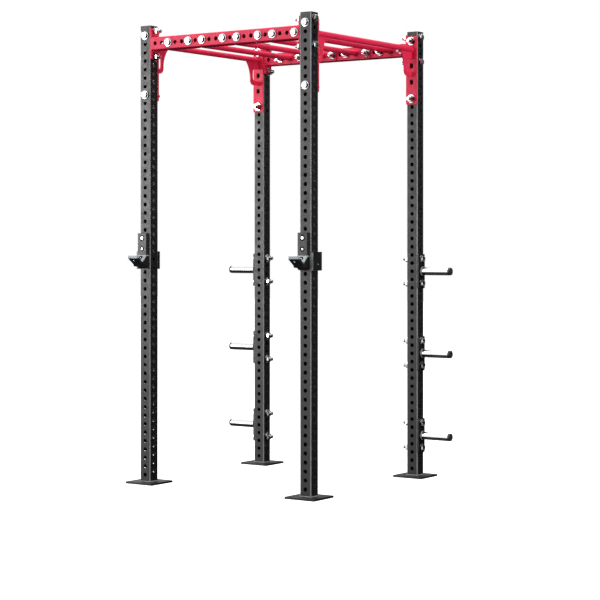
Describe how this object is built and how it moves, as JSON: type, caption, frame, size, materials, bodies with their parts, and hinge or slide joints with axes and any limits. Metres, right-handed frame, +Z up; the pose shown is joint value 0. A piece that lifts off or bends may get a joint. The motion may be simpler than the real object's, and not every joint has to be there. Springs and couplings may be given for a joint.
{
  "type": "power cage",
  "caption": "Free-standing four-post strength cage with drilled uprights, overhead pull-up bars, side pegs for weight plates and bar cups that swing on their pins.",
  "frame": {"origin": "on the floor at the centre of the four uprights", "axes": "+Z up, -Y towards the front, where the J-cups are, +X to the right seen from the front"},
  "size_m": [1.6806, 1.4261, 2.7559],
  "materials": {
    "charcoal_paint": "fine-textured powder coat",
    "black_paint": "fine-textured powder coat",
    "black_steel": "satin",
    "red_paint": "semi-gloss powder coat",
    "peg_chrome": "polished",
    "zinc_hardware": "bright plated",
    "black_plastic": "moulded, fine grain",
    "cup_paint": "fine-textured powder coat",
    "cup_pad_plastic": "machined, satin",
    "cup_liner_plastic": "machined, satin",
    "cup_steel": "bright plated"
  },
  "bodies": {
    "frame": {"base_plate_front_left": "black_paint", "base_plate_front_right": "black_paint", "base_plate_rear_left": "black_paint", "base_plate_rear_right": "black_paint", "crossmember_end_plate_front_left": "red_paint", "crossmember_end_plate_front_right": "red_paint", "crossmember_end_plate_rear_left": "red_paint", "crossmember_end_plate_rear_right": "red_paint", "crossmember_front": "red_paint", "crossmember_rear": "red_paint", "frame_bolts": "zinc_hardware", "frame_nuts": "zinc_hardware", "frame_washers": "zinc_hardware", "monkey_bar_1": "red_paint", "monkey_bar_2": "red_paint", "monkey_bar_3": "red_paint", "monkey_bar_4": "red_paint", "monkey_bar_flanges_1": "red_paint", "monkey_bar_flanges_2": "red_paint", "monkey_bar_flanges_3": "red_paint", "monkey_bar_flanges_4": "red_paint", "side_bar_gusset_front_left": "red_paint", "side_bar_gusset_front_right": "red_paint", "side_bar_gusset_rear_left": "red_paint", "side_bar_gusset_rear_right": "red_paint", "side_bar_left": "red_paint", "side_bar_plate_front_left": "red_paint", "side_bar_plate_front_right": "red_paint", "side_bar_plate_rear_left": "red_paint", "side_bar_plate_rear_right": "red_paint", "side_bar_right": "red_paint", "storage_collars": "black_steel", "storage_peg_caps": "black_plastic", "storage_peg_left_1": "peg_chrome", "storage_peg_left_2": "peg_chrome", "storage_peg_left_3": "peg_chrome", "storage_peg_right_1": "peg_chrome", "storage_peg_right_2": "peg_chrome", "storage_peg_right_3": "peg_chrome", "storage_plates_left": "black_paint", "storage_plates_right": "black_paint", "upright_caps": "black_plastic", "upright_front_left": "charcoal_paint", "upright_front_right": "charcoal_paint", "upright_rear_left": "charcoal_paint", "upright_rear_right": "charcoal_paint"},
    "j_cup_left": {"j_cup_left_bracket": "cup_paint", "j_cup_left_hook": "cup_paint", "j_cup_left_liner": "cup_liner_plastic", "j_cup_left_pad": "cup_pad_plastic", "j_cup_left_pin": "cup_steel", "j_cup_left_saddle": "cup_liner_plastic", "j_cup_left_screws": "cup_steel"},
    "j_cup_right": {"j_cup_right_bracket": "cup_paint", "j_cup_right_hook": "cup_paint", "j_cup_right_liner": "cup_liner_plastic", "j_cup_right_pad": "cup_pad_plastic", "j_cup_right_pin": "cup_steel", "j_cup_right_saddle": "cup_liner_plastic", "j_cup_right_screws": "cup_steel"}
  },
  "joints": [
    {"name": "j_cup_left_swing", "type": "hinge", "parent": "frame", "child": "j_cup_left", "pos_m": [-0.5842, -0.5842, 1.4764], "axis": [0, 1, 0], "range_deg": [0, 90]},
    {"name": "j_cup_right_swing", "type": "hinge", "parent": "frame", "child": "j_cup_right", "pos_m": [0.5842, -0.5842, 1.4764], "axis": [0, -1, 0], "range_deg": [0, 90]}
  ]
}
